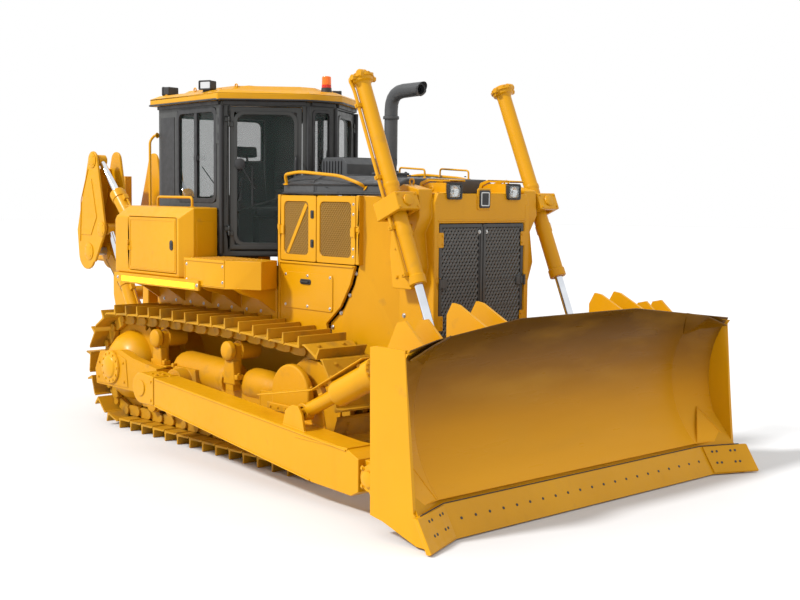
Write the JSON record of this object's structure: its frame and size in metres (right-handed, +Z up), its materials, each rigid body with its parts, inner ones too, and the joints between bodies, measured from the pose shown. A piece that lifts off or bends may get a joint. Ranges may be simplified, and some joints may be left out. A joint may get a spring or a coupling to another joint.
{
  "type": "bulldozer",
  "caption": "Crawler bulldozer with a semi-U blade on push arms, a six-sided cab, lift and tilt cylinders, and a raised single-shank parallelogram ripper.",
  "frame": {"origin": "on the ground under the middle of the machine's bounding box", "axes": "+X forward to the blade, +Y to the operator's left, +Z up"},
  "size_m": [8.0836, 4.18, 3.7153],
  "materials": {
    "yellow_paint": "satin machine enamel",
    "grey_paint": "satin dark grey enamel",
    "black_paint": "matt black",
    "track_steel": "dull worn track steel",
    "wear_steel": "dark hardened steel",
    "engine_iron": "matt",
    "chrome_rod": "polished chrome",
    "cab_glass": "green tinted, glossy",
    "seat_vinyl": "fine grained"
  },
  "bodies": {
    "machine": {"cab_frame": "grey_paint", "cab_roof": "yellow_paint", "engine": "engine_iron", "fender_left": "yellow_paint", "fender_right": "yellow_paint", "front_window": "cab_glass", "fuel_tank": "yellow_paint", "hood": "grey_paint", "main_frame": "yellow_paint", "radiator_guard": "yellow_paint", "rear_window": "cab_glass", "ripper_bracket": "yellow_paint", "seat": "seat_vinyl", "side_box_left": "yellow_paint", "side_box_right": "yellow_paint", "side_window_left": "cab_glass", "side_window_right": "cab_glass", "sprocket_left": "yellow_paint", "sprocket_right": "yellow_paint", "track_frame_left": "yellow_paint", "track_frame_right": "yellow_paint", "track_left": "track_steel", "track_right": "track_steel"},
    "blade_carrier": {"trunnion_cap_left": "yellow_paint", "trunnion_cap_right": "yellow_paint"},
    "blade": {"blade": "yellow_paint", "cutting_edge": "wear_steel"},
    "push_arm_left": {"push_arm_left": "yellow_paint"},
    "push_arm_right": {"push_arm_right": "yellow_paint"},
    "tilt_cylinder": {"tilt_cylinder": "yellow_paint"},
    "tilt_rod": {"tilt_rod": "chrome_rod"},
    "brace_left": {"brace_left": "yellow_paint"},
    "ripper_link": {"ripper_link": "yellow_paint"},
    "ripper_pins": {"ripper_pins": "chrome_rod"},
    "ripper_beam": {"ripper_beam": "yellow_paint", "ripper_shank": "wear_steel"},
    "ripper_lift_cylinders": {"ripper_lift_cylinders": "yellow_paint"},
    "ripper_lift_rods": {"ripper_lift_rod_left": "chrome_rod", "ripper_lift_rod_right": "chrome_rod"},
    "ripper_pitch_shaft": {"ripper_pitch_shaft": "chrome_rod"},
    "ripper_pitch_cylinders": {"ripper_pitch_cylinders": "yellow_paint"},
    "ripper_pitch_rods": {"ripper_pitch_rod_left": "chrome_rod", "ripper_pitch_rod_right": "chrome_rod"},
    "side_box_door": {"side_box_door_right": "yellow_paint"},
    "lift_yoke_left": {"lift_yoke_left": "yellow_paint"},
    "lift_barrel_left": {"lift_barrel_left": "yellow_paint"},
    "lift_rod_left": {"lift_rod_left": "chrome_rod"},
    "engine_door_rear_left": {"engine_door_rear_left": "yellow_paint"},
    "engine_door_front_left": {"engine_door_front_left": "yellow_paint"},
    "grille_door_left": {"grille_door_left": "black_paint"},
    "cab_door_left": {"cab_door_left": "grey_paint", "door_glass_left": "cab_glass"},
    "lift_yoke_right": {"lift_yoke_right": "yellow_paint"},
    "lift_barrel_right": {"lift_barrel_right": "yellow_paint"},
    "lift_rod_right": {"lift_rod_right": "chrome_rod"},
    "engine_door_rear_right": {"engine_door_rear_right": "yellow_paint"},
    "engine_door_front_right": {"engine_door_front_right": "yellow_paint"},
    "grille_door_right": {"grille_door_right": "black_paint"},
    "cab_door_right": {"cab_door_right": "grey_paint", "door_glass_right": "cab_glass"}
  },
  "joints": [
    {"name": "blade_lift", "type": "hinge", "parent": "machine", "child": "blade_carrier", "pos_m": [-0.3518, 0, 0.62], "axis": [0, 1, 0], "range_deg": [-14.3, 8]},
    {"name": "blade_tilt", "type": "hinge", "parent": "blade_carrier", "child": "blade", "pos_m": [3.0382, 0, 0.33], "axis": [0.8813, -0.4665, -0.0754], "range_deg": [-7.3, 7.3]},
    {"name": "push_arm_left_tilt", "type": "hinge", "parent": "blade_carrier", "child": "push_arm_left", "pos_m": [-0.3518, 1.66, 0.62], "axis": [0, -1, 0], "range_deg": [-3.3, 3.3]},
    {"name": "push_arm_right_tilt", "type": "hinge", "parent": "blade_carrier", "child": "push_arm_right", "pos_m": [-0.3518, -1.66, 0.62], "axis": [0, -1, 0], "range_deg": [-3.3, 3.3]},
    {"name": "tilt_cylinder_pivot", "type": "hinge", "parent": "push_arm_right", "child": "tilt_cylinder", "pos_m": [2.0582, -1.64, 0.705], "axis": [0.4351, -0.5901, -0.6801], "range_deg": [-5.8, 5.8]},
    {"name": "tilt_rod_slide", "type": "slide", "parent": "tilt_cylinder", "child": "tilt_rod", "axis": [0.8795, 0.1184, 0.4609], "range_m": [-0.1, 0.1]},
    {"name": "brace_left_pivot", "type": "hinge", "parent": "push_arm_left", "child": "brace_left", "pos_m": [2.0582, 1.64, 0.705], "axis": [0.4741, 0.12, -0.8722], "range_deg": [-5.3, 5.3]},
    {"name": "lift_yoke_left_swing", "type": "hinge", "parent": "machine", "child": "lift_yoke_left", "pos_m": [2.3282, 0.89, 2.41], "axis": [0, 1, 0], "range_deg": [-10.5, 6]},
    {"name": "lift_barrel_left_roll", "type": "hinge", "parent": "lift_yoke_left", "child": "lift_barrel_left", "pos_m": [2.3282, 0.89, 2.41], "axis": [0.9182, 0, 0.3962], "range_deg": [-3.3, 3.3]},
    {"name": "lift_rod_left_slide", "type": "slide", "parent": "lift_barrel_left", "child": "lift_rod_left", "axis": [0.3962, 0, -0.9182], "range_m": [-0.82, 0.46]},
    {"name": "lift_yoke_right_swing", "type": "hinge", "parent": "machine", "child": "lift_yoke_right", "pos_m": [2.3282, -0.89, 2.41], "axis": [0, 1, 0], "range_deg": [-10.5, 6]},
    {"name": "lift_barrel_right_roll", "type": "hinge", "parent": "lift_yoke_right", "child": "lift_barrel_right", "pos_m": [2.3282, -0.89, 2.41], "axis": [0.9182, 0, 0.3962], "range_deg": [-3.3, 3.3]},
    {"name": "lift_rod_right_slide", "type": "slide", "parent": "lift_barrel_right", "child": "lift_rod_right", "axis": [0.3962, 0, -0.9182], "range_m": [-0.82, 0.46]},
    {"name": "ripper_lift", "type": "hinge", "parent": "machine", "child": "ripper_link", "pos_m": [-2.5518, 0, 0.75], "axis": [0, -1, 0], "range_deg": [0, 58]},
    {"name": "ripper_level", "type": "hinge", "parent": "ripper_link", "child": "ripper_pins", "pos_m": [-3.5818, 0, 1.78], "axis": [0, -1, 0], "range_deg": [-59, 1]},
    {"name": "ripper_pitch", "type": "hinge", "parent": "ripper_pins", "child": "ripper_beam", "pos_m": [-3.5818, 0, 1.78], "axis": [0, 1, 0], "range_deg": [-13, 12]},
    {"name": "ripper_lift_cylinder_pivot", "type": "hinge", "parent": "machine", "child": "ripper_lift_cylinders", "pos_m": [-2.4018, 0, 0.62], "axis": [0, -1, 0], "range_deg": [-1, 55]},
    {"name": "ripper_lift_rod_slide", "type": "slide", "parent": "ripper_lift_cylinders", "child": "ripper_lift_rods", "axis": [-0.5171, 0, 0.8559], "range_m": [-0.43, 0.01]},
    {"name": "ripper_pitch_shaft_turn", "type": "hinge", "parent": "machine", "child": "ripper_pitch_shaft", "pos_m": [-2.4518, 0, 1.85], "axis": [0, -1, 0], "range_deg": [-1, 59]},
    {"name": "ripper_pitch_cylinder_pivot", "type": "hinge", "parent": "ripper_pitch_shaft", "child": "ripper_pitch_cylinders", "pos_m": [-2.4518, 0, 1.85], "axis": [0, 1, 0], "range_deg": [-6.5, 6]},
    {"name": "ripper_pitch_rod_slide", "type": "slide", "parent": "ripper_pitch_cylinders", "child": "ripper_pitch_rods", "axis": [-0.7071, 0, 0.7071], "range_m": [-0.2, 0.2]},
    {"name": "cab_door_left_swing", "type": "hinge", "parent": "machine", "child": "cab_door_left", "pos_m": [-0.26563, 0.81591, 2.6], "axis": [0, 0, 1], "range_deg": [0, 125]},
    {"name": "engine_door_rear_left_swing", "type": "hinge", "parent": "machine", "child": "engine_door_rear_left", "pos_m": [0.5752, 0.8123, 2.19], "axis": [0, 0, 1], "range_deg": [0, 100]},
    {"name": "engine_door_front_left_swing", "type": "hinge", "parent": "machine", "child": "engine_door_front_left", "pos_m": [1.6812, 0.8123, 2.19], "axis": [0, 0, -1], "range_deg": [0, 100]},
    {"name": "grille_door_left_swing", "type": "hinge", "parent": "machine", "child": "grille_door_left", "pos_m": [2.5005, 0.537, 1.765], "axis": [0, 0, 1], "range_deg": [0, 95]},
    {"name": "cab_door_right_swing", "type": "hinge", "parent": "machine", "child": "cab_door_right", "pos_m": [-0.26563, -0.81591, 2.6], "axis": [0, 0, -1], "range_deg": [0, 125]},
    {"name": "engine_door_rear_right_swing", "type": "hinge", "parent": "machine", "child": "engine_door_rear_right", "pos_m": [0.5752, -0.8123, 2.19], "axis": [0, 0, -1], "range_deg": [0, 100]},
    {"name": "engine_door_front_right_swing", "type": "hinge", "parent": "machine", "child": "engine_door_front_right", "pos_m": [1.6812, -0.8123, 2.19], "axis": [0, 0, 1], "range_deg": [0, 100]},
    {"name": "grille_door_right_swing", "type": "hinge", "parent": "machine", "child": "grille_door_right", "pos_m": [2.5005, -0.537, 1.765], "axis": [0, 0, -1], "range_deg": [0, 95]},
    {"name": "side_box_door_swing", "type": "hinge", "parent": "machine", "child": "side_box_door", "pos_m": [-1.4348, -1.2923, 1.975], "axis": [0, 0, -1], "range_deg": [0, 110]}
  ],
  "couplings": [
    {"joint": "push_arm_left_tilt", "follows": "blade_tilt", "ratio": 0.43087},
    {"joint": "push_arm_right_tilt", "follows": "blade_tilt", "ratio": -0.43087},
    {"joint": "tilt_cylinder_pivot", "follows": "blade_tilt", "ratio": 0.76892},
    {"joint": "tilt_rod_slide", "follows": "blade_tilt", "m_per_rad": -0.72438},
    {"joint": "brace_left_pivot", "follows": "blade_tilt", "ratio": 0.69815},
    {"joint": "lift_yoke_left_swing", "follows": "blade_lift", "ratio": 0.7},
    {"joint": "lift_barrel_left_roll", "follows": "blade_tilt", "ratio": -0.43549},
    {"joint": "lift_rod_left_slide", "follows": "blade_lift", "m_per_rad": 3.19},
    {"joint": "lift_yoke_right_swing", "follows": "blade_lift", "ratio": 0.7},
    {"joint": "lift_barrel_right_roll", "follows": "blade_tilt", "ratio": -0.43549},
    {"joint": "lift_rod_right_slide", "follows": "blade_lift", "m_per_rad": 3.19},
    {"joint": "ripper_level", "follows": "ripper_lift", "ratio": -1},
    {"joint": "ripper_lift_cylinder_pivot", "follows": "ripper_lift", "ratio": 0.93},
    {"joint": "ripper_lift_rod_slide", "follows": "ripper_lift", "m_per_rad": -0.4125},
    {"joint": "ripper_pitch_shaft_turn", "follows": "ripper_lift", "ratio": 1},
    {"joint": "ripper_pitch_cylinder_pivot", "follows": "ripper_pitch", "ratio": 0.485},
    {"joint": "ripper_pitch_rod_slide", "follows": "ripper_pitch", "m_per_rad": -0.84798}
  ]
}
